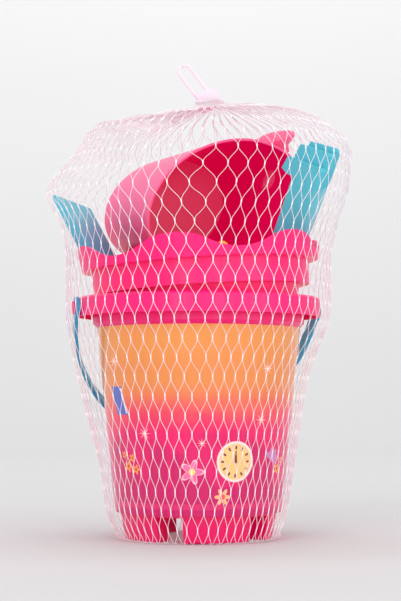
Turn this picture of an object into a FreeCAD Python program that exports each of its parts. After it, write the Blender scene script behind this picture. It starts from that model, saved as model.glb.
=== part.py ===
import FreeCAD, Part
import os
import re
import Sketcher
from FreeCAD import Placement, Rotation, Vector
from math import asin, cos, pi, radians, sin

# Sand bucket with its sieve, watering can, star mould, shovel and rake, in a net bag.
# Z is up along the bucket's axis, -Y is the front, and the net's underside is z = 0.

doc = FreeCAD.newDocument("bucketSet")
sheet = doc.addObject("Spreadsheet::Sheet", "sizes")

driving = {
    # bucket, heights above its own foot
    "bucketHeight": 175.0,
    "bucketWall": 1.6,
    "footHeight": 19.0,
    "footRadius": 54.0,
    "footTopRadius": 57.5,
    "wallFootRadius": 61.1,
    "wallTopRadius": 74.8,
    "sleeveTop": 153.0,
    "mouthRadius": 76.5,
    "rimRadius": 89.7,
    "skirtDepth": 14.0,
    "toothInner": 40.0,
    "toothSpan": 52.0,
    "toothCount": 5,
    "toothTurn": 17.7,
    "film": 0.3,
    # handle pegs and bail
    "pegHeight": 167.0,
    "pegRadius": 3.5,
    "pegHead": 4.8,
    "pegGap": 0.05,
    "bailTurn": 14.5,
    "bailSwing": 39.0,
    "bailInner": 90.3,
    "bailStrap": 2.5,
    "bailDrop": 119.0,
    "bailWidth": 11.0,
    "earRadius": 8.0,
    # sieve, heights from the underside of its collar
    "sieveWall": 1.6,
    "collarFoot": 87.5,
    "collarTop": 90.6,
    "crest": 17.5,
    "dip": 6.0,
    "bandRadius": 80.0,
    "bandHeight": 18.0,
    "neckTop": 72.6,
    "neckFoot": 66.0,
    "sieveDepth": 56.0,
    "waveCount": 6,
    "waveTurn": 18.5,
    "sieveTilt": 3.45,
    "sieveLevel": 199.6,
    "sieveShift": 1.2,
    "holeRadius": 2.2,
    # watering can, along its own axis from the base to the mouth
    "canLength": 90.0,
    "canMajor": 65.4,
    "canMinor": 50.8,
    "canTaper": 0.78,
    "canSkewSide": 28.2,
    "canSkewDown": 9.5,
    "canWall": 1.4,
    "canBead": 0.6,
    "canRoll": 26.6,
    "spoutRadius": 6.5,
    "roseRadius": 14.5,
    # star mould
    "starArm": 44.5,
    "starWaist": 18.0,
    "starDepth": 14.0,
    "starWall": 1.5,
    # shovel
    "bladeWidth": 48.5,
    "bladeLength": 62.0,
    "bladeNeck": 49.0,
    "bladeDish": 4.0,
    "bladeFold": 22.0,
    "toolWall": 2.0,
    "shovelGrip": 58.0,
    "gripWidth": 15.0,
    "gripDepth": 7.0,
    # rake
    "rakeTooth": 6.4,
    "rakeSlit": 0.75,
    "rakeFlank": 25.0,
    "rakeHead": 80.0,
    "rakeHook": 6.8,
    "rakeGrip": 50.0,
    "rakeFoot": 20.0,
    # net bag, its tab and its loop
    "netSheet": 0.5,
    "tabWidth": 17.0,
    "tabHeight": 14.0,
    "tabDepth": 6.0,
    "loopWire": 1.2,
    "loopHeight": 27.0,
}

row = 1
for alias, value in driving.items():
    sheet.set("A%d" % row, alias)
    sheet.set("B%d" % row, "%g" % value)
    sheet.setAlias("B%d" % row, alias)
    row += 1
doc.recompute()

aliasWord = re.compile(r"\b(" + "|".join(driving) + r")\b")


def linked(formula):
    # a formula in the sheet's own words, as an expression that other objects can hold
    return aliasWord.sub(r"sizes.\1", str(formula))


def value(formula):
    # the present value of such a formula
    result = sheet.evalExpression(linked(formula))
    return float(getattr(result, "Value", result))


def bind(item, **formulas):
    # ties properties of an object to formulas of the sheet
    for name, formula in formulas.items():
        item.setExpression(name, linked(formula))


def newBody(name):
    body = doc.addObject("PartDesign::Body", name)
    body.Label = name
    return body


def newSketch(body, name, role, lift=None, turned=0.0):
    # an empty sketch on one of the body's own origin planes, lifted by a formula or
    # turned about the sketch's own vertical
    sketch = body.newObject("Sketcher::SketchObject", name)
    plane = [f for f in body.Origin.OriginFeatures if f.Role == role][0]
    sketch.AttachmentSupport = (plane, [""])
    sketch.MapMode = "FlatFace"
    sketch.AttachmentOffset = Placement(Vector(), Rotation(Vector(0, 1, 0), turned))
    if lift is not None:
        sketch.setExpression(".AttachmentOffset.Base.z", linked(lift))
    return sketch


def pinPoint(sketch, item, end, across, up):
    # fixes one end of a sketch item at two formulas from the sketch's origin
    for kind, formula in (("DistanceX", across), ("DistanceY", up)):
        size = value(formula)
        if abs(size) < 1e-9:
            axis = -2 if kind == "DistanceX" else -1
            sketch.addConstraint(Sketcher.Constraint("PointOnObject", item, end, axis))
        else:
            index = sketch.addConstraint(Sketcher.Constraint(kind, -1, 1, item, end, size))
            sketch.setExpression("Constraints[%d]" % index, linked(formula))


def outline(body, name, role, corners, lift=None, turned=0.0):
    # a closed outline of straight lines through corners given as pairs of formulas
    sketch = newSketch(body, name, role, lift, turned)
    points = [Vector(value(across), value(up), 0) for across, up in corners]
    count = len(points)
    for i in range(count):
        sketch.addGeometry(Part.LineSegment(points[i], points[(i + 1) % count]), False)
    for i in range(count):
        sketch.addConstraint(Sketcher.Constraint("Coincident", i, 2, (i + 1) % count, 1))
        pinPoint(sketch, i, 1, *corners[i])
    return sketch


def disc(body, name, role, across, up, radius, lift=None):
    # a circle at two formulas, with its radius bound to a third
    sketch = newSketch(body, name, role, lift)
    centre = Vector(value(across), value(up), 0)
    sketch.addGeometry(Part.Circle(centre, Vector(0, 0, 1), value(radius)), False)
    pinPoint(sketch, 0, 3, across, up)
    index = sketch.addConstraint(Sketcher.Constraint("Radius", 0, value(radius)))
    sketch.setExpression("Constraints[%d]" % index, linked(radius))
    return sketch


def feature(body, kind, name, sketch, **settings):
    # a PartDesign feature on a sketch; settings that are text are formulas
    made = body.newObject("PartDesign::" + kind, name)
    made.Profile = sketch
    for key, setting in settings.items():
        if isinstance(setting, str) and key in ("Length", "Angle"):
            made.setExpression(key, linked(setting))
        else:
            setattr(made, key, setting)
    doc.recompute()
    return made


def spin(body, kind, name, sketch, angle="360", symmetric=False):
    # a revolution or groove about the sketch's vertical axis
    return feature(body, kind, name, sketch, ReferenceAxis=(sketch, ["V_Axis"]),
                   Angle=angle, Midplane=symmetric)


def polar(body, name, originals, count):
    # repeats features round the body's Z axis
    axis = [f for f in body.Origin.OriginFeatures if f.Role == "Z_Axis"][0]
    pattern = body.newObject("PartDesign::PolarPattern", name)
    pattern.Originals = originals
    pattern.Axis = (axis, [""])
    pattern.Angle = 360
    pattern.setExpression("Occurrences", linked(count))
    body.Tip = pattern
    doc.recompute()
    return pattern


def mustCut(body, before, what):
    # a cut that removes nothing is a mistake in its direction
    if not body.Shape.Volume < before - 0.1:
        raise RuntimeError(what + " removed nothing")


def frameOf(origin, across, depth, along):
    # the placement that carries local X, Y, Z onto three directions at an origin
    turn = Rotation(Vector(*across), Vector(*depth), Vector(*along), "ZXY")
    return Placement(Vector(*origin), turn)


# bucket
lift = value("netSheet") + 0.3                      # the foot stands on the net's underside


def makeBucket():
    body = newBody("bucket_shell")
    shell = outline(body, "wallProfile", "XZ_Plane", [
        ("0", "footHeight - bucketWall"),
        ("footTopRadius - 0.6", "footHeight - bucketWall"),
        ("footTopRadius", "footHeight"),
        ("wallFootRadius", "footHeight"),
        ("wallTopRadius", "sleeveTop"),
        ("mouthRadius + bucketWall", "sleeveTop + 3"),
        ("mouthRadius + bucketWall", "bucketHeight - bucketWall"),
        ("rimRadius - bucketWall", "bucketHeight - bucketWall"),
        ("rimRadius - bucketWall", "bucketHeight - skirtDepth"),
        ("rimRadius", "bucketHeight - skirtDepth"),
        ("rimRadius", "bucketHeight - 1.4"),
        ("rimRadius - 1.4", "bucketHeight"),
        ("mouthRadius", "bucketHeight"),
        ("mouthRadius", "sleeveTop + 3"),
        ("wallTopRadius - bucketWall", "sleeveTop"),
        ("wallFootRadius - bucketWall", "footHeight + bucketWall"),
        ("0", "footHeight + bucketWall"),
    ])
    spin(body, "Revolution", "wall", shell)
    tooth = outline(body, "toothProfile", "XZ_Plane", [
        ("toothInner", "footHeight"),
        ("toothInner", "0"),
        ("footRadius", "0"),
        ("footTopRadius", "footHeight"),
    ], turned=-value("toothTurn"))
    block = spin(body, "Revolution", "toothBlock", tooth, "toothSpan", True)
    polar(body, "teeth", [block], "toothCount")
    before = body.Shape.Volume
    hollow = outline(body, "toothHollowProfile", "XZ_Plane", [
        ("toothInner + bucketWall", "footHeight + bucketWall + 1"),
        ("toothInner + bucketWall", "bucketWall"),
        ("footRadius - bucketWall", "bucketWall"),
        ("footTopRadius - bucketWall", "footHeight + bucketWall + 1"),
    ], turned=-value("toothTurn"))
    pit = spin(body, "Groove", "toothHollow", hollow, "toothSpan - 4", True)
    polar(body, "toothHollows", [pit], "toothCount")
    mustCut(body, before, "the tooth hollows")
    for side, sign in (("right", ""), ("left", "-")):
        neck = disc(body, side + "PegCircle", "YZ_Plane", "0", "pegHeight", "pegRadius",
                    sign + "(rimRadius - 1.2)")
        feature(body, "Pad", side + "Peg", neck, Length="bailInner + bailStrap + 0.2 - rimRadius + 1.2",
                Reversed=side == "left")
        head = disc(body, side + "PegHeadCircle", "YZ_Plane", "0", "pegHeight", "pegHead",
                    sign + "(bailInner + bailStrap + 0.2)")
        feature(body, "Pad", side + "PegHead", head, Length="1.4", Reversed=side == "left")
    body.Placement = Placement(Vector(0, 0, lift), Rotation(Vector(0, 0, 1), value("bailTurn")))
    return body


def makeSleeve():
    # the printed film lies on the wall between the foot step and the shoulder
    body = newBody("printed_sleeve")
    film = outline(body, "filmProfile", "XZ_Plane", [
        ("wallFootRadius + 0.05", "footHeight"),
        ("wallFootRadius + 0.05 + film", "footHeight"),
        ("wallTopRadius + 0.05 + film", "sleeveTop"),
        ("wallTopRadius + 0.05", "sleeveTop"),
    ])
    spin(body, "Revolution", "filmBand", film)
    body.Placement = Placement(Vector(0, 0, lift), Rotation())
    return body


def makeBail():
    # a half-ellipse of flat strap: local X along the pivots, Y down the drop, Z across the strap
    body = newBody("bail")
    sketch = newSketch(body, "strapEdge", "XY_Plane")
    inner = (value("bailInner"), value("bailDrop - bailStrap"))
    outer = (value("bailInner + bailStrap"), value("bailDrop"))
    for reach, drop in (inner, outer):
        ellipse = Part.Ellipse(Vector(0, drop, 0), Vector(-reach, 0, 0), Vector(0, 0, 0))
        sketch.addGeometry(Part.ArcOfEllipse(ellipse, -pi / 2, pi / 2), False)
    for reach in (-1, 1):
        sketch.addGeometry(Part.LineSegment(Vector(reach * inner[0], 0, 0),
                                            Vector(reach * outer[0], 0, 0)), False)
    feature(body, "Pad", "strap", sketch, Length="bailWidth", Midplane=True)
    for side, sign in (("right", ""), ("left", "-")):
        ear = disc(body, side + "EarCircle", "YZ_Plane", "0", "0", "earRadius", sign + "bailInner")
        feature(body, "Pad", side + "Ear", ear, Length="bailStrap", Reversed=side == "left")
    before = body.Shape.Volume
    eye = disc(body, "eyeCircle", "YZ_Plane", "0", "0", "pegRadius + pegGap")
    feature(body, "Pocket", "eyes", eye, Type="ThroughAll", Midplane=True)
    mustCut(body, before, "the eyes")
    turn = radians(value("bailTurn"))
    back = radians(value("bailSwing"))
    across = (cos(turn), sin(turn), 0)
    down = (-sin(turn) * sin(back), cos(turn) * sin(back), -cos(back))
    normal = Vector(*across).cross(Vector(*down))
    body.Placement = frameOf((0, 0, value("pegHeight") + lift), across, down, tuple(normal))
    return body


# sieve
def makeSieve():
    body = newBody("sieve")
    section = outline(body, "sieveProfile", "XZ_Plane", [
        ("0", "-sieveDepth"),
        ("neckFoot", "-sieveDepth"),
        ("neckTop", "-bandHeight"),
        ("bandRadius", "-bandHeight"),
        ("bandRadius + 0.6", "0"),
        ("collarFoot", "0"),
        ("collarTop", "crest"),
        ("collarTop - sieveWall", "crest"),
        ("collarFoot - sieveWall", "sieveWall"),
        ("bandRadius + 0.6 - sieveWall", "sieveWall"),
        ("bandRadius - sieveWall", "sieveWall - bandHeight"),
        ("neckTop - sieveWall", "sieveWall - bandHeight"),
        ("neckFoot - sieveWall", "2 - sieveDepth"),
        ("0", "2 - sieveDepth"),
    ])
    spin(body, "Revolution", "sieveWalls", section)
    # the collar's wave: one dip between two half crests, cut outwards and repeated
    half = value("collarTop") * sin(radians(30))
    rise = value("crest - dip")
    bend = ((half / 2) ** 2 + (rise / 2) ** 2) / rise
    top = value("crest") + 8
    wave = newSketch(body, "waveOutline", "XZ_Plane")
    middle = Vector(0, value("dip") + bend, 0)
    angle = asin(half / 2 / bend)
    up = Vector(0, 0, 1)
    left = Part.Circle(Vector(-half, value("crest") - bend, 0), up, bend)
    centre = Part.Circle(middle, up, bend)
    right = Part.Circle(Vector(half, value("crest") - bend, 0), up, bend)
    wave.addGeometry(Part.ArcOfCircle(left, pi / 2 - angle, pi / 2), False)
    wave.addGeometry(Part.ArcOfCircle(centre, -pi / 2 - angle, -pi / 2 + angle), False)
    wave.addGeometry(Part.ArcOfCircle(right, pi / 2, pi / 2 + angle), False)
    corners = [Vector(half, value("crest"), 0), Vector(half, top, 0),
               Vector(-half, top, 0), Vector(-half, value("crest"), 0)]
    for start, end in zip(corners, corners[1:]):
        wave.addGeometry(Part.LineSegment(start, end), False)
    before = body.Shape.Volume
    cut = feature(body, "Pocket", "waveDip", wave, Length="120", Reversed=True)
    polar(body, "waveDips", [cut], "waveCount")
    mustCut(body, before, "the waves")
    for ring, count in ((16, 6), (31, 12), (46, 18), (58, 24)):
        before = body.Shape.Volume
        circle = disc(body, "hole%dCircle" % ring, "XY_Plane", ring, "0", "holeRadius", "-sieveDepth - 1")
        hole = feature(body, "Pocket", "hole%d" % ring, circle, Length="4", Reversed=True)
        polar(body, "holes%d" % ring, [hole], count)
        mustCut(body, before, "the floor holes")
    tilt = Rotation(Vector(0, 1, 0), -value("sieveTilt"))
    turn = Rotation(Vector(0, 0, 1), value("waveTurn"))
    body.Placement = Placement(Vector(value("sieveShift"), 0, value("sieveLevel")), tilt * turn)
    return body


# watering can
def oval(name, level, grow, share):
    # an ellipse of the can at a share of its length, larger or smaller by a formula
    item = doc.addObject("Part::Ellipse", name)
    size = "(canTaper + (1 - canTaper) * %s)" % share
    bind(item, MajorRadius="canMajor * %s + (%s)" % (size, grow),
         MinorRadius="canMinor * %s + (%s)" % (size, grow))
    bind(item, **{".Placement.Base.x": "canSkewSide * " + share,
                  ".Placement.Base.y": "-canSkewDown * " + share,
                  ".Placement.Base.z": level,
                  ".Placement.Rotation.Angle": "canRoll * 1 deg"})
    return item


def tube(name, sections):
    loft = doc.addObject("Part::Loft", name)
    loft.Sections = sections
    loft.Solid = True
    loft.Ruled = True
    return loft


canTurn = radians(15)                               # the mouth looks forward and to the right
canAcross = (cos(canTurn), sin(canTurn), 0)
canOut = (sin(canTurn), -cos(canTurn), 0)
canBase = Placement(frameOf((-27.0, 80.0, 251.5), canAcross, (0, 0, 1), canOut))
spoutPath = [Vector(45, 50, 265), Vector(59, 41, 277.3), Vector(61, 32, 295)]


def pipe(points, radius, extend=0.0):
    # a round bar along the arc through three points, carried on straight at its start
    arc = Part.Arc(*points).toShape()
    start = arc.tangentAt(arc.FirstParameter)
    edges = [arc]
    head = points[0]
    if extend:
        head = points[0] - start * extend
        edges.insert(0, Part.LineSegment(head, points[0]).toShape())
    ring = Part.Wire(Part.Circle(head, start, radius).toShape())
    return Part.Wire(edges).makePipeShell([ring], True, True)


def makeCan():
    outer = tube("canOutside", [oval("canBaseOval", "0", "0", "0"),
                                oval("canMouthOval", "canLength", "0", "1")])
    inner = tube("canInside", [oval("canFloorOval", "canWall", "-canWall", "0"),
                               oval("canOpenOval", "canLength + 0.01", "-canWall", "1")])
    bead = tube("canBeadRing", [oval("canBeadLow", "canLength - 2.6", "canBead - 0.45", "0.9711"),
                                oval("canBeadHigh", "canLength", "canBead", "1")])
    whole = doc.addObject("Part::MultiFuse", "canSolid")
    whole.Shapes = [outer, bead]
    bore = doc.addObject("Part::Feature", "spoutBore")
    bore.Shape = pipe(spoutPath, value("spoutRadius") - 1.5, 14.0)
    bore.Placement = canBase.inverse()
    hollow = doc.addObject("Part::MultiFuse", "canHollow")
    hollow.Shapes = [inner, bore]
    can = doc.addObject("Part::Cut", "can_body")
    can.Base = whole
    can.Tool = hollow
    doc.recompute()
    can.Placement = canBase
    can.Label = "can_body"
    skin = outer.Shape.copy()
    skin.Placement = canBase
    return can, skin


def makeSpout(skin):
    # a bent tube whose root is trimmed to the can's skin
    spout = doc.addObject("Part::Feature", "can_spout")
    radius = value("spoutRadius")
    flange = pipe(spoutPath, radius, 6.0)
    spout.Shape = flange.cut(pipe(spoutPath, radius - 1.5, 14.0)).cut(skin)
    spout.Label = "can_spout"
    return spout


def makeRose():
    body = newBody("can_rose")
    cup = outline(body, "roseProfile", "XZ_Plane", [
        ("spoutRadius + 0.05", "-5"),
        ("spoutRadius + 1.6", "-5"),
        ("spoutRadius + 1.6", "0"),
        ("roseRadius", "6"),
        ("roseRadius", "8.5"),
        ("roseRadius * 0.6", "9.6"),
        ("0", "10"),
        ("0", "8.4"),
        ("roseRadius * 0.6", "8"),
        ("roseRadius - 1.6", "7"),
        ("spoutRadius + 0.05", "0.5"),
    ])
    spin(body, "Revolution", "roseCup", cup)
    for ring, count in ((4, 5), (8, 10), (11.5, 15)):
        tag = "jet%d" % ring
        circle = disc(body, tag + "Circle", "XY_Plane", ring, "0", "0.9", "12")
        before = body.Shape.Volume
        hole = feature(body, "Pocket", tag, circle, Length="6")
        polar(body, tag + "Ring", [hole], count)
        mustCut(body, before, "the rose's jets")
    arc = Part.Arc(*spoutPath).toShape()
    body.Placement = Placement(spoutPath[-1], Rotation(Vector(0, 0, 1),
                                                       arc.tangentAt(arc.LastParameter)))
    return body


def makeCanGrip(skin):
    # a strap bowed from the front to the back of the can's underside
    grip = doc.addObject("Part::Feature", "can_grip")
    front, low, rear = Vector(6, 4, 192), Vector(-2, 22, 152.5), Vector(-12, 44, 211)
    arc = Part.Arc(front, low, rear).toShape()
    along = arc.tangentAt(arc.FirstParameter)
    wide = (rear - front).cross(low - front).normalize()
    thick = along.cross(wide)
    corners = [front + wide * (6 * i) + thick * (2 * j) for i, j in ((-1, -1), (1, -1), (1, 1), (-1, 1))]
    ring = Part.makePolygon(corners + corners[:1])
    bow = Part.Wire([arc]).makePipeShell([ring], True, True)
    grip.Shape = bow.cut(skin)
    grip.Label = "can_grip"
    return grip


# star mould
def makeStar():
    # a hollow five-armed starfish, front face at local +Z, open at the back
    body = newBody("star_mould")
    corners = []
    for arm in range(5):
        tip = "(90 + %d) * 1 deg" % (72 * arm)
        waist = "(126 + %d) * 1 deg" % (72 * arm)
        corners.append(("starArm * cos(%s)" % tip, "starArm * sin(%s)" % tip))
        corners.append(("starWaist * cos(%s)" % waist, "starWaist * sin(%s)" % waist))
    star = outline(body, "starOutline", "XY_Plane", corners)
    pad = feature(body, "Pad", "starBlock", star, Length="starDepth")
    sides = [i for i, e in enumerate(pad.Shape.Edges, 1) if abs(e.tangentAt(0).z) > 0.99]
    rounded = body.newObject("PartDesign::Fillet", "starArms")
    rounded.Base = (pad, ["Edge%d" % i for i in sides])
    rounded.Radius = 4.5
    doc.recompute()
    face = [i for i, f in enumerate(rounded.Shape.Faces, 1)
            if f.Surface.isPlanar() and f.CenterOfMass.z > value("starDepth") - 0.01][0]
    puffed = body.newObject("PartDesign::Fillet", "starFront")
    puffed.Base = (rounded, ["Face%d" % face])
    puffed.Radius = 3.5
    doc.recompute()
    back = [i for i, f in enumerate(puffed.Shape.Faces, 1)
            if f.Surface.isPlanar() and f.CenterOfMass.z < 0.01][0]
    thin = body.newObject("PartDesign::Thickness", "starHollow")
    thin.Base = (puffed, ["Face%d" % back])
    thin.Reversed = True
    thin.setExpression("Value", linked("starWall"))
    doc.recompute()
    # one arm points down at the sieve's floor; the front looks forward
    lean = radians(4.5)
    body.Placement = frameOf((-3, -34, 186.4), (-cos(lean), 0, sin(lean)), (-sin(lean), 0, -cos(lean)),
                             (0, -1, 0))
    return body


# shovel and rake
def channel(body, name, plate, length, middle="0"):
    # a grip of U section on the XY plane, its plate's outer face at a local height
    left = middle + " - gripWidth / 2"
    right = middle + " + gripWidth / 2"
    section = outline(body, name + "Section", "XY_Plane", [
        (left, plate), (right, plate),
        (right, plate + " - gripDepth"), (right + " - toolWall", plate + " - gripDepth"),
        (right + " - toolWall", plate + " - toolWall"), (left + " + toolWall", plate + " - toolWall"),
        (left + " + toolWall", plate + " - gripDepth"), (left, plate + " - gripDepth"),
    ])
    return feature(body, "Pad", name, section, Length=length)


def makeShovel():
    # local X across the blade, Y out of its crowned side, Z from grip to tip
    body = newBody("shovel")
    channel(body, "grip", "0", "shovelGrip + 4")
    rings = []
    for name, half, fold, dish, level in (
            ("neckSection", "bladeNeck / 2", "bladeFold / 2", "bladeDish", "shovelGrip"),
            ("tipSection", "bladeWidth / 2", "bladeWidth / 2 - 1.5", "0.6", "shovelGrip + bladeLength")):
        rings.append(outline(body, name, "XY_Plane", [
            ("-" + half, "-" + dish), ("-(" + fold + ")", "0"), (fold, "0"), (half, "-" + dish),
            (half, "-toolWall - " + dish), (fold, "-toolWall"), ("-(" + fold + ")", "-toolWall"),
            ("-" + half, "-toolWall - " + dish)], level))
    blade = body.newObject("PartDesign::AdditiveLoft", "blade")
    blade.Profile = rings[0]
    blade.Sections = [rings[1]]
    blade.Ruled = True
    doc.recompute()
    along = Vector(-0.477, 0.398, 0.784).normalize()
    across = Vector(-0.517, -0.848, 0.117)
    across = (across - along * across.dot(along)).normalize()
    out = along.cross(across)
    tip = Vector(-95.8, 28.8, 251.9)
    foot = tip - along * value("shovelGrip + bladeLength")
    body.Placement = frameOf(tuple(foot), tuple(across), tuple(out), tuple(along))
    return body


def makeRake():
    # local X along the row of teeth, Y towards their tips, Z from grip to head
    body = newBody("rake")
    row = "(5 * rakeTooth + 4 * rakeSlit)"
    front = "rakeFlank / 2"
    pitch = "(rakeTooth + rakeSlit)"
    left = "-%s / 2" % row
    # the head is an open shell: a deep flank, a back that curves in, a shallow flank,
    # narrowing from the teeth down to a closed foot
    rings = []
    for name, width, depths, level in (
            ("footPlan", "rakeFoot", (25, 24, 22, 19, 15), "rakeGrip"),
            ("headPlan", row, (25, 21.5, 17, 10, 4), "rakeGrip + rakeHead - 15")):
        bends = [("%s + %g * %s" % (left, i / 4, width), "%s - %g" % (front, depth))
                 for i, depth in enumerate(depths)]
        skin = [(left, front)] + bends + [("%s + %s" % (left, width), front)]
        hollow = [(left + " + toolWall", front)]
        hollow += [(left + " + toolWall", bends[0][1] + " + toolWall")]
        hollow += [(x, y + " + toolWall * 1.3") for x, y in bends[1:-1]]
        hollow += [("%s + %s - toolWall" % (left, width), bends[-1][1] + " + toolWall * 1.5")]
        hollow += [("%s + %s - toolWall" % (left, width), front)]
        rings.append(outline(body, name, "XY_Plane", skin + hollow[::-1], level))
        if width == "rakeFoot":
            cap = outline(body, "capPlan", "XY_Plane", skin, level)
    head = body.newObject("PartDesign::AdditiveLoft", "head")
    head.Profile = rings[0]
    head.Sections = [rings[1]]
    head.Ruled = True
    doc.recompute()
    feature(body, "Pad", "footCap", cap, Length="toolWall")
    channel(body, "grip", front + " - 14", "rakeGrip + 1", left + " + rakeFoot / 2")
    for tooth, (tall, reach, deep) in enumerate(((0, 1, 25), (10.5, 0.9, 21), (14, 0.75, 16.5),
                                                 (12, 0.5, 9.5), (9, 0.25, 4))):
        top = "rakeGrip + rakeHead + %g" % tall
        rear = "%s - %g" % (front, deep)
        hook = " + %g * rakeHook" % reach
        side = outline(body, "tooth%dOutline" % tooth, "YZ_Plane", [
            (rear, "rakeGrip + rakeHead - 16"), (front, "rakeGrip + rakeHead - 16"),
            (front, top + " - 15"), (front + hook, top + " - 15.5"),
            (front + hook + " * 2", top + " - 13.5"), (front + hook + " * 1.65", top + " - 3.5"),
            (rear + " + 2", top), (rear, top + " - 2")],
            "%s + %d * %s" % (left, tooth, pitch))
        feature(body, "Pad", "tooth%d" % tooth, side, Length="rakeTooth")
    along = Vector(0.3016, -0.35, 0.887).normalize()
    across = Vector(0.757, 0.653, 0)
    across = (across - along * across.dot(along)).normalize()
    out = along.cross(across)
    # the notch under the first tooth fixes where the rake leans
    notch = Vector(68.0, -36.0, 262.2)
    foot = notch - along * value("rakeGrip + rakeHead - 15") - out * value("rakeFlank / 2")
    foot = foot + across * value("2.5 * rakeTooth + 2 * rakeSlit")
    body.Placement = frameOf(tuple(foot), tuple(across), tuple(out), tuple(along))
    return body


# net bag
netRings = [
    # level, rise per mm to the right, reach to the left, right, front and back, roundness
    (0, 0, 57.5, 57.5, 57.5, 57.5, 0.92),
    (22, 0, 68, 65.5, 64, 66, 0.92),
    (55, 0, 73, 70.5, 69.5, 78, 0.92),
    (90, 0, 82.5, 76, 74, 95, 0.92),
    (121, 0, 90, 82, 78, 108, 0.92),
    (146, 0, 95.5, 91.5, 83, 117, 0.92),
    (160, 0, 97.5, 96.5, 92, 119, 0.92),
    (180, 0, 98, 98, 92.5, 118, 0.92),
    (205, 0, 98, 98, 93, 112, 0.92),
    (232, 0, 103, 103.5, 92, 106, 0.88),
    (252, 0, 112.5, 110, 90, 103, 0.84),
    (270, 0, 101.5, 112.5, 88, 103, 0.8),
    (287, 0.02, 87, 109.5, 80, 99, 0.8),
    (300, 0.03, 78, 97, 58, 90, 0.84),
    (308, 0.05, 69, 84, 42, 70, 0.92),
    (312, 0.08, 42, 58, 26, 44, 0.92),
    (313, 0.1, -3, 20, 7, 7, 0.92),
]


def netRing(level, rise, left, right, front, back, roundness, inset):
    # a smooth closed ring whose quarter sectors have their own reach
    points = []
    middle = (right - left) / 2 if left < 0 else 0.0
    for k in range(24):
        turn = 2 * pi * k / 24
        x, y = cos(turn), sin(turn)
        reachX = ((right - middle) if x > 0 else (left + middle)) - inset
        reachY = (back if y > 0 else front) - inset
        px = middle + reachX * (abs(x) ** roundness) * (1 if x > 0 else -1)
        py = reachY * (abs(y) ** roundness) * (1 if y > 0 else -1)
        points.append(Vector(px, py, level + rise * px))
    ring = Part.BSplineCurve()
    ring.interpolate(Points=points, PeriodicFlag=True)
    return Part.Wire(ring.toShape())


def makeNetBag():
    # the sheet is the space between two lofts, closed below and open at the gathered neck
    sheetThick = value("netSheet")
    outer = Part.makeLoft([netRing(*r, 0.0) for r in netRings], True, True)
    inside = []
    for i, r in enumerate(netRings):
        drop = 0.01 if i == len(netRings) - 1 else 0.0
        lifted = (r[0] + (sheetThick if i == 0 else drop),) + r[1:]
        inside.append(netRing(*lifted, sheetThick))
    net = doc.addObject("Part::Feature", "net_bag")
    net.Shape = outer.cut(Part.makeLoft(inside, True, True))
    net.Label = "net_bag"
    return net


def makeClosure():
    # the welded tab leans to the left over the neck
    body = newBody("net_closure")
    half = "tabWidth / 2"
    tab = outline(body, "tabOutline", "XZ_Plane", [
        ("-" + half, "0"), (half, "0"), (half + " - 1", "tabHeight"), ("1 - " + half, "tabHeight")])
    feature(body, "Pad", "tab", tab, Length="tabDepth", Midplane=True)
    body.Placement = Placement(Vector(10.6, 0, 318.4), Rotation(Vector(0, 1, 0), -24))
    return body


def makeLoop():
    # two straight legs and a round head, its legs set into the tab
    body = newBody("hang_loop")
    half = 4.6
    rise = value("loopHeight") - half
    spine = newSketch(body, "loopPath", "XZ_Plane")
    spine.addGeometry(Part.LineSegment(Vector(-half, 0, 0), Vector(-half, rise, 0)), False)
    bow = Part.Circle(Vector(0, rise, 0), Vector(0, 0, 1), half)
    spine.addGeometry(Part.ArcOfCircle(bow, 0, pi), False)
    spine.addGeometry(Part.LineSegment(Vector(half, rise, 0), Vector(half, 0, 0)), False)
    wire = disc(body, "loopSection", "XY_Plane", -half, "0", "loopWire")
    loop = body.newObject("PartDesign::AdditivePipe", "loop")
    loop.Profile = wire
    loop.Spine = spine
    doc.recompute()
    body.Placement = Placement(Vector(3.3, 0, 328.6), Rotation(Vector(0, 1, 0), -37))
    return body


can, canSkin = makeCan()
parts = [makeBucket(), makeSleeve(), makeBail(), makeSieve(), can, makeSpout(canSkin), makeRose(),
         makeCanGrip(canSkin), makeStar(), makeShovel(), makeRake(), makeNetBag(), makeClosure(),
         makeLoop()]
doc.recompute()

os.makedirs("parts", exist_ok=True)
for item in doc.Objects:
    if {"Invalid", "Error"} & set(item.State):
        raise RuntimeError(item.Name + " is " + str(item.State))
for part in parts:
    if part.Shape.isNull() or not part.Shape.isValid():
        raise RuntimeError(part.Label + " has no valid shape")
    part.Shape.exportStep("parts/%s.step" % part.Label)
    box = part.Shape.BoundBox
    print("%-15s %8.0f mm3  solids %d  z %.1f to %.1f" % (part.Label, part.Shape.Volume,
                                                        len(part.Shape.Solids), box.ZMin, box.ZMax))
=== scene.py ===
import bpy
import math
import numpy as np
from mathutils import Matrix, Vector


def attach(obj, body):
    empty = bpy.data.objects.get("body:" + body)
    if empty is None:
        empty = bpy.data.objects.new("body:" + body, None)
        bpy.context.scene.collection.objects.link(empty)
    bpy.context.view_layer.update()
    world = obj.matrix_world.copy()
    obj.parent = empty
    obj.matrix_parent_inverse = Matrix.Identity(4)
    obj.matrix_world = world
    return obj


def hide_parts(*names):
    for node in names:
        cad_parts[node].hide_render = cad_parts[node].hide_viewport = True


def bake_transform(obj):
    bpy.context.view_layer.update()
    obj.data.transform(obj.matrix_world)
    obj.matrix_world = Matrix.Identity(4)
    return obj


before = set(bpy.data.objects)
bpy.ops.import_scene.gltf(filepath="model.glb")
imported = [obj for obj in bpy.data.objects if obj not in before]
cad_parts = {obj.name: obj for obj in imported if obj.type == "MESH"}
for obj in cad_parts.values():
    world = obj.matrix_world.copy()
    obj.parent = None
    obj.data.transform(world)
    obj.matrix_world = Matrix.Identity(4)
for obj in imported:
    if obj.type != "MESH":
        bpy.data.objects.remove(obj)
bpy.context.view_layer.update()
print("frame loaded with", len(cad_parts), "nodes")


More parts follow.
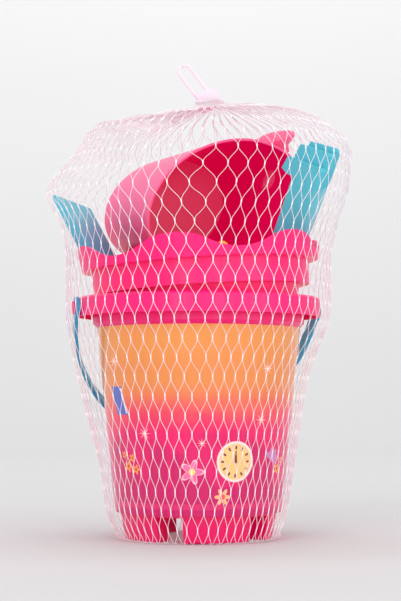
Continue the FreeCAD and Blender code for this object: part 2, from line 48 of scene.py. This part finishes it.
# shader arithmetic on sockets
class Wire:
    def __init__(self, paint, socket):
        self.paint = paint
        self.socket = socket

    def apply(self, operation, *others):
        node = self.paint.node("ShaderNodeMath", {"operation": operation})
        for place, value in enumerate((self,) + others):
            self.paint.join(value, node.inputs[place])
        return Wire(self.paint, node.outputs[0])

    def __add__(self, other):
        return self.apply("ADD", other)

    __radd__ = __add__

    def __mul__(self, other):
        return self.apply("MULTIPLY", other)

    __rmul__ = __mul__

    def __sub__(self, other):
        return self.apply("SUBTRACT", other)

    def __rsub__(self, other):
        return (self * -1.0) + other

    def __truediv__(self, other):
        return self.apply("DIVIDE", other)

    def __rtruediv__(self, other):
        return self.apply("POWER", -1.0) * other

    def __pow__(self, other):
        return self.apply("POWER", other)

    def __neg__(self):
        return self * -1.0

    def ramp(self, low, high):
        # 0 below low, 1 above high, smooth between
        node = self.paint.node("ShaderNodeMapRange", {"interpolation_type": "SMOOTHSTEP"},
                               {"From Min": low, "From Max": high})
        self.paint.join(self, node.inputs["Value"])
        return Wire(self.paint, node.outputs["Result"])


class Paint:
    def __init__(self, name):
        self.material = bpy.data.materials.new(name)
        self.material.use_nodes = True
        self.tree = self.material.node_tree
        self.surface = self.tree.nodes["Principled BSDF"]
        place = self.node("ShaderNodeTexCoord")
        self.place = Wire(self, place.outputs["Object"])
        split = self.node("ShaderNodeSeparateXYZ", {}, {"Vector": self.place})
        self.x, self.y, self.z = [Wire(self, split.outputs[i]) for i in range(3)]

    def join(self, value, socket):
        if isinstance(value, Wire):
            self.tree.links.new(value.socket, socket)
        else:
            socket.default_value = value

    def node(self, kind, settings=None, sockets=None):
        made = self.tree.nodes.new(kind)
        for key, value in (settings or {}).items():
            setattr(made, key, value)
        for key, value in (sockets or {}).items():
            self.join(value, made.inputs[key])
        return made

    def noise(self, scale, detail=2.0, stretch=(1, 1, 1)):
        spread = self.node("ShaderNodeVectorMath", {"operation": "MULTIPLY"}, {0: self.place, 1: stretch})
        made = self.node("ShaderNodeTexNoise", {}, {"Vector": Wire(self, spread.outputs[0]), "Scale": scale,
                                                    "Detail": detail})
        return Wire(self, made.outputs[0])

    def mix(self, share, first, second):
        # colours, each a tuple of three or a wire
        made = self.node("ShaderNodeMix", {"data_type": "RGBA"})
        self.join(share, made.inputs["Factor"])
        for slot, colour in ((6, first), (7, second)):
            self.join(colour if isinstance(colour, Wire) else tuple(colour) + (1,), made.inputs[slot])
        return Wire(self, made.outputs[2])

    def bump(self, height, distance, strength=0.5):
        made = self.node("ShaderNodeBump", {}, {"Height": height, "Distance": distance, "Strength": strength})
        return Wire(self, made.outputs[0])

    def attribute(self, name):
        made = self.node("ShaderNodeAttribute", {"attribute_name": name})
        return Wire(self, made.outputs["Fac"])

    def finish(self, **sockets):
        for key, value in sockets.items():
            name = key.replace("_", " ")
            if isinstance(value, tuple) and len(value) == 3 and name in ("Base Color", "Emission Color"):
                value = value + (1,)
            self.join(value, self.surface.inputs[name])
        return self.material


def tint(red, green, blue):
    # a display colour of 0 to 255 as a linear one
    share = np.array([red, green, blue], float) / 255
    return tuple(float(c) for c in np.where(share <= 0.04045, share / 12.92, ((share + 0.055) / 1.055) ** 2.4))


# moulded plastics: a main colour, painted shade as a darker tone low down or inside, fine grain, faint flow marks
# (which also lean to that darker tone) and a painted glow from emission
def moulded(name, look):
    paint = Paint(name)
    grain = paint.noise(look["grain"], 3.0)
    flow = paint.noise(9.0, 2.0, (1, 1, 0.25))
    level = paint.z.ramp(look["low"], look["high"])
    # painted shade: the darker tone grows towards the bottom; faint flow marks mix a little of it in too
    body = paint.mix(level * 0.7 + flow * 0.3, look["deep"], look["main"])
    body = paint.mix(grain.ramp(0.55, 0.8) * 0.12, body, look["light"])
    # painted glow: emission in the body colour lifts the plastic as if lit
    return paint.finish(Base_Color=body, Roughness=look["rough"] + flow * 0.12,
                        Normal=paint.bump(grain, 0.0002, 0.12),
                        Emission_Color=body, Emission_Strength=look.get("glow", 0.07),
                        Subsurface_Weight=look["milk"], Subsurface_Scale=0.006)


hotPink = {"main": tint(250, 0, 122), "deep": tint(238, 0, 100), "light": tint(255, 80, 175),
           "low": 0.02, "high": 0.18, "grain": 700.0, "rough": 0.28, "milk": 0.12}
rosePink = {"main": tint(255, 92, 150), "deep": tint(225, 20, 85), "light": tint(255, 140, 180),
            "low": 0.20, "high": 0.262, "grain": 700.0, "rough": 0.33, "milk": 0.15}
# the bail's stronger glow is painted light that lifts its shaded side
teal = {"main": tint(50, 150, 185), "deep": tint(30, 128, 168), "light": tint(120, 190, 215),
        "low": 0.08, "high": 0.17, "grain": 700.0, "rough": 0.32, "milk": 0.08, "glow": 0.25}
aqua = {"main": tint(78, 196, 212), "deep": tint(70, 120, 165), "light": tint(150, 225, 235),
        "low": 0.20, "high": 0.245, "grain": 700.0, "rough": 0.24, "milk": 0.12}
amber = {"main": tint(255, 170, 30), "deep": tint(250, 140, 20), "light": tint(255, 215, 90),
         "low": 0.18, "high": 0.215, "grain": 700.0, "rough": 0.33, "milk": 0.15}
milky = {"main": tint(250, 228, 238), "deep": tint(246, 176, 208), "light": tint(255, 250, 252),
         "low": 0.318, "high": 0.331, "grain": 900.0, "rough": 0.3, "milk": 0.3}

looks = {"bucket_shell": hotPink, "sieve": hotPink, "bail": teal, "can_spout": rosePink, "can_rose": rosePink,
         "can_grip": rosePink, "star_mould": amber, "shovel": aqua, "rake": aqua, "net_closure": milky,
         "hang_loop": milky}
for node, look in looks.items():
    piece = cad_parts[node]
    piece.data.materials.clear()
    piece.data.materials.append(moulded(node + "Finish", look))


# the watering can: light rose outside, darkening towards the bottom as painted shade; inside painted deep crimson as
# painted shade and inter-reflection; its oval drifts and grows towards the mouth
can = {"turn": math.radians(15), "roll": math.radians(26.6), "major": 0.0654, "minor": 0.0508, "taper": 0.78,
       "length": 0.090, "drift": 0.3133, "sink": 0.1056, "height": 0.2515}


def canMaterial():
    paint = Paint("canFinish")
    side = math.sin(can["turn"]), -math.cos(can["turn"])
    # distance along the can from its closed end and height over its tilted axis
    along = paint.x * side[0] + paint.y * side[1] + 0.0843
    middle = can["height"] - along * can["sink"]
    across = paint.x * 0.9659 + paint.y * 0.2588 + 0.0054 - along * can["drift"]
    up = paint.z - middle
    roll = can["roll"]
    grown = along * ((1 - can["taper"]) / can["length"]) + can["taper"]
    # how far out a point lies, as a share of the oval's own size at that depth
    major = (across * math.cos(roll) + up * math.sin(roll)) / (grown * can["major"])
    minor = (up * math.cos(roll) - across * math.sin(roll)) / (grown * can["minor"])
    share = (major * major + minor * minor) ** 0.5
    inside = (1.0 - share.ramp(0.978, 0.992)) * along.ramp(0.0008, 0.0012)
    # painted shade: the inside is painted a deep crimson for shade and inter-reflection, darker lower down
    deep = paint.mix(paint.z.ramp(0.20, 0.30), tint(206, 0, 72), tint(226, 0, 92))
    # painted shade: the rose outside darkens towards the bottom
    outer = paint.mix(paint.z.ramp(0.205, 0.262), tint(228, 20, 100), tint(255, 95, 155))
    grain = paint.noise(700.0, 3.0)
    # painted glow: emission, brighter on the inside, stands in for light let through the thin walls
    glow = paint.mix(inside, tint(90, 15, 45), tint(205, 0, 90))
    return paint.finish(Base_Color=paint.mix(inside, outer, deep), Roughness=0.3 + grain * 0.08,
                        Emission_Color=glow, Emission_Strength=0.24,
                        Normal=paint.bump(grain, 0.0002, 0.1), Subsurface_Weight=0.12, Subsurface_Scale=0.005)


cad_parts["can_body"].data.materials.clear()
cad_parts["can_body"].data.materials.append(canMaterial())


# printed sleeve: sunset wash, castle silhouettes, flowers, a clock and starbursts
sleeve = {"radius": 67.0, "clock": (27.5, 58.0, 12.6), "flower": (-4.6, 51.0, 7.8), "peach": (18.2, 33.5, 6.2),
          "small": [(-58, 54, 4.2), (-53, 60, 3.2), (-50, 52, 3.6), (-62, 62, 2.8), (70, 52, 4.0), (76, 58, 3.0)],
          "bursts": [(-40, 77.5, 7), (2.4, 71, 5), (50, 123, 7), (47, 87, 7), (-66, 128.5, 8), (80, 100, 7),
                     (120, 70, 6), (-110, 90, 7), (-150, 120, 6), (160, 84, 7)],
          "towers": [(-30, 50, 7, 66), (-15, 44, 5, 60), (42, 52, 9, 70), (58, 44, 5, 62), (-70, 48, 8, 72),
                     (-95, 42, 6, 62), (95, 50, 9, 70), (130, 44, 6, 64), (-140, 46, 8, 68), (175, 48, 8, 66)]}


def sleeveMaterial():
    paint = Paint("sleeveFinish")
    turn = paint.x.apply("ARCTAN2", -paint.y)
    u = turn * sleeve["radius"]
    v = paint.z * 1000.0
    wash = paint.mix(v.ramp(20, 80), tint(230, 0, 112), tint(236, 0, 104))
    wash = paint.mix(v.ramp(76, 98), wash, tint(236, 66, 90))
    wash = paint.mix(v.ramp(90, 114), wash, tint(232, 140, 72))
    wash = paint.mix(v.ramp(118, 152), wash, tint(236, 152, 72))
    cloud = paint.noise(16.0, 3.0, (1, 1, 2.2))
    wash = paint.mix(cloud.ramp(0.45, 0.7) * v.ramp(70, 100) * 0.3, wash, tint(238, 140, 84))

    def spot(across, up, radius, edge=0.5):
        far = ((u - across) ** 2.0 + (v - up) ** 2.0) ** 0.5
        return 1.0 - far.ramp(radius - edge, radius + edge)

    def block(left, right, low, high):
        wide = (u.ramp(left - 0.4, left + 0.4)) * (1.0 - u.ramp(right - 0.4, right + 0.4))
        return wide * v.ramp(low - 0.4, low + 0.4) * (1.0 - v.ramp(high - 0.4, high + 0.4))

    def petals(across, up, radius, count, depth=0.26):
        right = u - across
        above = v - up
        far = (right * right + above * above) ** 0.5
        lobe = (above.apply("ARCTAN2", right) * float(count)).apply("COSINE")
        return 1.0 - (far - (lobe * depth + (1 - depth)) * radius).ramp(-0.4, 0.4)

    def burst(across, up, radius):
        right = u - across
        above = v - up
        far = (right * right + above * above) ** 0.5
        ray = (above.apply("ARCTAN2", right) * 4.0).apply("COSINE").apply("ABSOLUTE") ** 6.0
        glow = 1.0 - (far / (ray * 0.75 + 0.3)).ramp(radius * 0.1, radius)
        return glow * glow

    # far hills, then near hills and castles
    hills = (u * 0.085).apply("SINE") * 6.0 + (u * 0.21 + 1.3).apply("SINE") * 3.0 + 74.0
    wash = paint.mix((hills - v).ramp(-0.5, 0.5) * 0.45, wash, tint(212, 0, 100))
    near = (u * 0.12 + 2.0).apply("SINE") * 5.0 + (u * 0.34).apply("SINE") * 1.6 + 44.0
    dark = (near - v).ramp(-0.4, 0.4)
    for across, low, half, high in sleeve["towers"]:
        dark = dark.apply("MAXIMUM", block(across - half, across + half, low - 25, high))
        for step in (-0.72, 0.0, 0.72):
            start, end = across + half * (step - 0.2), across + half * (step + 0.2)
            dark = dark.apply("MAXIMUM", block(start, end, high, high + 3))
    wash = paint.mix(dark * 0.42, wash, tint(176, 0, 92))
    band = (v.ramp(24, 25)) * (1.0 - v.ramp(28, 29))
    wash = paint.mix(band * 0.35, wash, tint(250, 60, 130))

    across, up, radius = sleeve["clock"]
    wash = paint.mix(spot(across, up, radius + 1.6), wash, tint(255, 232, 226))
    wash = paint.mix(spot(across, up, radius), wash, tint(248, 200, 128))
    right = u - across
    above = v - up
    far = (right * right + above * above) ** 0.5
    hour = (above.apply("ARCTAN2", right) * 12.0).apply("COSINE").ramp(0.55, 0.8)
    marks = hour * far.ramp(radius * 0.66, radius * 0.7) * (1.0 - far.ramp(radius * 0.86, radius * 0.9))
    hands = block(across - 0.5, across + 0.5, up - 1, up + radius * 0.6)
    hands = hands.apply("MAXIMUM", block(across - 0.9, across + 0.9, up - 1, up + radius * 0.36))
    hands = hands.apply("MAXIMUM", spot(across, up, 1.3))
    wash = paint.mix(marks.apply("MAXIMUM", hands), wash, tint(120, 30, 60))

    across, up, radius = sleeve["flower"]
    wash = paint.mix(petals(across, up, radius * 1.14, 5), wash, tint(255, 205, 220))
    wash = paint.mix(petals(across, up, radius, 5), wash, tint(246, 110, 165))
    wash = paint.mix(spot(across, up, radius * 0.3), wash, tint(255, 225, 120))
    across, up, radius = sleeve["peach"]
    wash = paint.mix(petals(across, up, radius, 6), wash, tint(255, 190, 140))
    wash = paint.mix(spot(across, up, radius * 0.32), wash, tint(240, 90, 90))
    for right0, up0, size in sleeve["small"]:
        wash = paint.mix(petals(right0, up0, size, 5), wash, tint(250, 165, 70))
        wash = paint.mix(spot(right0, up0, size * 0.3), wash, tint(200, 60, 40))
    # a slanting blue book with pale pages
    lean = u + (v - 100.0) * 0.28
    cover = lean.ramp(-69.5, -68.9) * (1.0 - lean.ramp(-57.1, -56.5))
    cover = cover * v.ramp(90.2, 90.8) * (1.0 - v.ramp(110.2, 110.8))
    wash = paint.mix(cover, wash, tint(86, 105, 190))
    pages = lean.ramp(-58.9, -58.5) * (1.0 - lean.ramp(-57.3, -56.9))
    pages = pages * v.ramp(91.2, 91.8) * (1.0 - v.ramp(109, 109.6))
    wash = paint.mix(pages, wash, tint(240, 225, 220))
    shell = petals(62.0, 60.0, 7.5, 7, 0.12) * (u * 0.5 + v).ramp(88, 89)
    wash = paint.mix(shell, wash, tint(205, 130, 185))
    for across, up, radius in sleeve["bursts"]:
        wash = paint.mix(burst(across, up, radius), wash, tint(255, 225, 215))
    # painted glow: emission in the print's own colours lifts the sleeve as if lit
    return paint.finish(Base_Color=wash, Roughness=0.16 + cloud * 0.08, Coat_Weight=0.35, Coat_Roughness=0.12,
                        Emission_Color=wash, Emission_Strength=0.12,
                        Normal=paint.bump(paint.noise(60.0, 1.0, (1, 1, 0.2)), 0.0006, 0.12))


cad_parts["printed_sleeve"].data.materials.clear()
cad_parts["printed_sleeve"].data.materials.append(sleeveMaterial())
print("finishes made")


# net bag: strands on one smooth envelope, welded where neighbours meet
def sweep(name, path, radius, sides, welds):
    # tubes of changing radius round many paths at once; path is (tubes, stations, 3)
    # the tube's point is path + radius * (cos a * first + sin a * second), first and second normal to the path
    tubes, stations = path.shape[:2]
    ahead = np.gradient(path, axis=1)
    ahead /= np.linalg.norm(ahead, axis=2, keepdims=True) + 1e-12
    out = path * np.array([1, 1, 0.0]) + np.array([0, 0, 1e-5])
    first = np.cross(ahead, out)
    first /= np.linalg.norm(first, axis=2, keepdims=True) + 1e-12
    second = np.cross(first, ahead)
    angle = np.arange(sides) * 2 * math.pi / sides
    cosine, sine = np.cos(angle)[:, None], np.sin(angle)[:, None]
    ring = cosine * first[:, :, None, :] + sine * second[:, :, None, :]
    points = path[:, :, None, :] + radius[:, :, None, None] * ring
    index = np.arange(tubes * stations * sides).reshape(tubes, stations, sides)
    a, b = index[:, :-1], index[:, 1:]
    quads = np.stack([a, b, np.roll(b, -1, 2), np.roll(a, -1, 2)], -1).reshape(-1, 4)
    mesh = bpy.data.meshes.new(name)
    mesh.from_pydata(points.reshape(-1, 3), [], quads.tolist() + index[:, 0, ::-1].reshape(-1, sides).tolist()
                     + index[:, -1].reshape(-1, sides).tolist())
    held = mesh.attributes.new("weld", "FLOAT", "POINT")
    held.data.foreach_set("value", np.repeat(welds.reshape(-1), sides).astype(np.float32))
    mesh.polygons.foreach_set("use_smooth", np.ones(len(mesh.polygons), bool))
    mesh.update()
    piece = bpy.data.objects.new(name, mesh)
    bpy.context.scene.collection.objects.link(piece)
    return piece


envelope = {
    # height, rise to the right, reach to the left, right, front and back, roundness; in millimetres
    "rings": np.array([
        (0.4, 0, 10, 10, 10, 10, 1.0), (0.4, 0, 56, 56, 56, 56, 0.95), (5, 0, 61, 60, 59.5, 60, 0.92),
        (22, 0, 68, 65.5, 64, 66, 0.92), (55, 0, 73, 70.5, 69.5, 78, 0.92),
        (90, 0, 82.5, 76, 74, 95, 0.92), (121, 0, 90, 82, 78, 108, 0.92), (146, 0, 95.5, 91.5, 84, 117, 0.92),
        (160, 0, 97.5, 96.5, 92, 119, 0.92), (180, 0, 98, 98, 92.5, 118, 0.92), (205, 0, 98, 98, 93, 112, 0.92),
        (232, 0, 103, 103.5, 92, 106, 0.88), (252, 0, 112.5, 110, 90, 103, 0.84), (270, 0, 101.5, 112.5, 88, 103, 0.8),
        (287, 0.02, 87, 109.5, 80, 99, 0.8), (300, 0.03, 82, 97, 60, 90, 0.84), (308, 0.06, 73, 84, 44, 70, 0.92),
        (313.5, 0.1, 46, 58, 26, 44, 0.92), (317, 0.12, 14, 30, 10, 12, 0.92), (320, 0.1, 1, 19, 5, 5, 1.0),
        (324, 0.1, 1, 15, 3.4, 3.4, 1.0)]),
    "strands": 128, "wire": 0.22, "knot": 0.48, "half": 13.4, "step": 1.9}


def envelopePoint(turn, place):
    # place counts rings; a smooth curve runs through each ring value (Catmull-Rom)
    rings = envelope["rings"]
    last = len(rings) - 1
    k = np.clip(np.floor(place).astype(int), 0, last - 1)
    t = (place - k)[..., None]
    before, here, ahead, after = (rings[np.clip(k + i, 0, last)] for i in (-1, 0, 1, 2))
    row = 0.5 * (2 * here + (ahead - before) * t + (2 * before - 5 * here + 4 * ahead - after) * t ** 2
                 + (3 * here - before - 3 * ahead + after) * t ** 3)
    middle = np.interp(place, [last - 3.0, last - 2.0, last - 1.0, last], [0, 8, 9.5, 9]) * (place > last - 3)
    x, y = np.cos(turn), np.sin(turn)
    # behind the bucket the mesh is squarer, pushed out by the bail
    behind = np.interp(place, [3, 5, 10, 12], [0.92, 0.74, 0.74, 0.84])
    power = np.where((y > 0) & (place > 3) & (place < 12), behind, row[..., 6])
    reachX = np.where(x > 0, row[..., 3] - middle, row[..., 2] + middle)
    reachY = np.where(y > 0, row[..., 5], row[..., 4])
    px = middle + reachX * np.abs(x) ** power * np.sign(x)
    py = reachY * np.abs(y) ** power * np.sign(y)
    return np.stack([px, py, row[..., 0] + row[..., 1] * px], -1) / 1000


def netPaths():
    # stations spaced evenly along a typical side, then strands sway left and right between welds
    fine = np.linspace(0.0, len(envelope["rings"]) - 1.0, 1400)
    side = np.mean([envelopePoint(np.full_like(fine, a), fine) for a in (-2.4, -1.6, -0.7, 0.6, 2.4)], 0)
    length = np.concatenate([[0], np.cumsum(np.linalg.norm(np.diff(side, axis=0), axis=1))]) * 1000
    count = int(length[-1] / envelope["step"])
    run = np.linspace(0, length[-1], count)
    place = np.interp(run, length, fine)
    number = envelope["strands"]
    strand = np.arange(number)[:, None]
    sign = np.where(strand % 2 == 0, 1.0, -1.0)
    rand = np.random.default_rng(7)
    phase = run / envelope["half"] * math.pi
    # slack: welds drift a little and the mesh shears more towards the left
    pitch = 2 * math.pi / number
    swing = np.sin(phase)
    swing = np.clip(1.03 * swing, -1, 1)
    base = (strand + 0.5 * sign * swing[None, :]) * pitch
    drift = np.zeros_like(base)
    for order, size in ((2, 0.05), (3, 0.03), (5, 0.022), (9, 0.012)):
        a, b = rand.uniform(0, 6.28, 2)
        drift += size * np.sin(order * base + a) * np.sin(run[None, :] / 38.0 * (0.5 + order / 6) + b)
    loose = np.interp(run, [0, 200, 250, 330, length[-1]], [0.25, 0.45, 1.0, 1.6, 0.5])
    turn = base + drift * loose[None, :] + 0.02
    lift = np.sin(4 * base + 1.0) * np.sin(run[None, :] / 11.0 + 3 * base) * 0.12 * loose[None, :]
    path = envelopePoint(turn, np.clip(place[None, :] + lift * 0.25, 0, len(envelope["rings"]) - 1.001))
    weld = np.clip((np.abs(np.sin(phase)) - 0.93) / 0.06, 0, 1)[None, :] * np.ones((number, 1))
    return path, weld


def netMaterial():
    paint = Paint("netStrands")
    weld = paint.attribute("weld")
    cloud = paint.noise(22.0, 2.0)
    colour = paint.mix(weld * 0.6 + cloud.ramp(0.3, 0.8) * 0.4, tint(236, 224, 230), tint(254, 253, 254))
    # painted glow: emission lifts the strands as if lit
    return paint.finish(Base_Color=colour, Roughness=0.36 - weld * 0.1, Alpha=weld * 0.28 + 0.7,
                        Emission_Color=colour, Emission_Strength=0.14, IOR=1.48)


netFinish = netMaterial()
paths, welds = netPaths()
radii = (envelope["wire"] + (envelope["knot"] - envelope["wire"]) * welds) / 1000


def netPiece(share):
    # the stretch of every strand whose share is true, cut where it changes
    made = []
    starts = np.diff(np.pad(share.astype(int), ((0, 0), (1, 1))), axis=1)
    for strand in range(share.shape[0]):
        for a, b in zip(np.flatnonzero(starts[strand] == 1), np.flatnonzero(starts[strand] == -1)):
            if b - a >= 2:
                made.append((strand, max(a - 1, 0), min(b + 1, share.shape[1])))
    wide = max(b - a for _, a, b in made)
    grid = np.array([np.minimum(np.arange(wide) + a, b - 1) for _, a, b in made])
    rows = np.array([m[0] for m in made])[:, None]
    groups = {}
    for item, (strand, a, b) in enumerate(made):
        groups.setdefault(b - a, []).append(item)
    pieces = []
    for size, items in groups.items():
        pick = grid[items, :size]
        pieces.append((paths[rows[items], pick], radii[rows[items], pick], welds[rows[items], pick]))
    return pieces


def strandMesh(name, share):
    objects = [sweep(name, path, radius, 5, weld) for path, radius, weld in netPiece(share)]
    for piece in objects:
        piece.data.materials.append(netFinish)
    with bpy.context.temp_override(active_object=objects[0], selected_editable_objects=objects,
                                   object=objects[0], selected_objects=objects):
        if len(objects) > 1:
            bpy.ops.object.join()
    objects[0].name = name
    return objects[0]


leftward = -0.8 * paths[..., 0] + 0.6 * paths[..., 2]
rightward = 0.8 * paths[..., 0] + 0.6 * paths[..., 2]
left = leftward > 0.200
right = (rightward > 0.200) & ~left
main = ~left & ~right
low = main & (paths[..., 2] < 0.1)
netLow = strandMesh("netLow", low)
netMiddle = strandMesh("netMiddle", main & ~low)
netLeft = strandMesh("netLeftShoulder", left)
netRight = strandMesh("netRightShoulder", right)
for piece in (netLow, netMiddle):
    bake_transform(piece)
    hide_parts("net_bag")
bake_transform(netLeft)
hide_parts("net_bag")
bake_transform(netRight)
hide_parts("net_bag")


# slack folds: a second, finer mesh bunched under the neck and at the shoulders
folds = {"inset": 0.0022, "turn": 0.031, "wave": 0.0016, "wire": 0.17, "floor": 0.306, "side": 0.26}
sway = np.sin(paths[..., 2] * 620 + paths[..., 0] * 140) * folds["wave"]
away = paths * np.array([1, 1, 0.0])
away /= np.linalg.norm(away, axis=2, keepdims=True) + 1e-9
turned = np.stack([paths[..., 0] * math.cos(folds["turn"]) - paths[..., 1] * math.sin(folds["turn"]),
                   paths[..., 0] * math.sin(folds["turn"]) + paths[..., 1] * math.cos(folds["turn"]),
                   paths[..., 2]], -1)
slack = turned + away * (0.0007 + np.abs(sway))[..., None] + np.stack([0 * sway, 0 * sway, sway * 0.6], -1)
high = (paths[..., 2] + folds["side"] * np.abs(paths[..., 0]) > folds["floor"])
kept = paths, radii
paths, radii = slack, radii * (folds["wire"] / envelope["wire"])
foldTop = strandMesh("netFoldsTop", high & main)
foldLeft = strandMesh("netFoldsLeft", high & left)
foldRight = strandMesh("netFoldsRight", high & right)
paths, radii = kept
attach(foldTop, "sieve")
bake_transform(foldLeft)
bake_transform(foldRight)
print("net made", [len(o.data.polygons) for o in (netLow, netMiddle, netLeft, netRight)])


# stage: pale floor that curves up behind, studio light, camera
def stageSweep():
    # a profile of floor, quarter arc and wall (y, z), carried along x
    sizes = {"half": 4.0, "front": -2.6, "bend": 1.7, "arc": 0.9, "top": 4.2}
    turn = np.linspace(0, math.pi / 2, 24)
    back = sizes["bend"] + sizes["arc"]
    y = np.concatenate([[sizes["front"]], sizes["bend"] + sizes["arc"] * np.sin(turn), [back]])
    z = np.concatenate([[0.0], sizes["arc"] * (1 - np.cos(turn)), [sizes["top"]]])
    x = np.array([-sizes["half"], sizes["half"]])
    points = np.stack([np.repeat(x, len(y)), np.tile(y, 2), np.tile(z, 2)], -1)
    k = np.arange(len(y) - 1)
    faces = np.stack([k, k + len(y), k + len(y) + 1, k + 1], -1)
    mesh = bpy.data.meshes.new("studioSweep")
    mesh.from_pydata(points, [], faces.tolist())
    mesh.polygons.foreach_set("use_smooth", np.ones(len(faces), bool))
    piece = bpy.data.objects.new("studioSweep", mesh)
    bpy.context.scene.collection.objects.link(piece)
    paint = Paint("studioPaint")
    paper = paint.mix(paint.noise(3.0, 2.0), tint(214, 214, 215), tint(217, 217, 218))
    paper = paint.mix(paint.z.ramp(0.0, 1.2), paper, tint(238, 238, 239))
    piece.data.materials.append(paint.finish(Base_Color=paper,
                                             Roughness=0.85, Specular_IOR_Level=0.1))


stageSweep()


def softLight(name, at, aim, size, power):
    lamp = bpy.data.lights.new(name, "AREA")
    lamp.shape = "RECTANGLE"
    lamp.size, lamp.size_y = size
    lamp.energy = power
    holder = bpy.data.objects.new(name, lamp)
    holder.location = at
    holder.rotation_euler = (Vector(aim) - Vector(at)).to_track_quat("-Z", "Y").to_euler()
    bpy.context.scene.collection.objects.link(holder)


softLight("keyLight", (-0.9, -1.5, 1.25), (0, 0, 0.16), (0.9, 0.9), 7)
softLight("fillLight", (1.5, -1.1, 0.6), (0, 0, 0.17), (0.8, 1.4), 6)
softLight("wallLight", (0.0, 0.7, 2.6), (0, 2.4, 1.0), (2.4, 1.2), 22)
softLight("stripLeft", (-0.42, -1.5, 0.3), (0, 0, 0.12), (0.07, 0.9), 2.2)
softLight("stripRight", (0.5, -1.4, 0.3), (0, 0, 0.12), (0.1, 0.9), 2.0)
world = bpy.data.worlds.new("studioAir")
world.use_nodes = True
world.node_tree.nodes["Background"].inputs["Color"].default_value = (1, 1, 1, 1)
world.node_tree.nodes["Background"].inputs["Strength"].default_value = 0.83
bpy.context.scene.world = world
bpy.context.scene.view_settings.view_transform = "Standard"

view = bpy.data.cameras.new("camera")
view.sensor_fit = "VERTICAL"
view.sensor_height = 36.0
view.lens = 89.85
holder = bpy.data.objects.new("camera", view)
holder.location = (0.0015, -1.1115, 0.1038)
holder.rotation_euler = (math.radians(93.64), 0, 0)
bpy.context.scene.collection.objects.link(holder)
bpy.context.scene.camera = holder

print("stage, light and camera set")
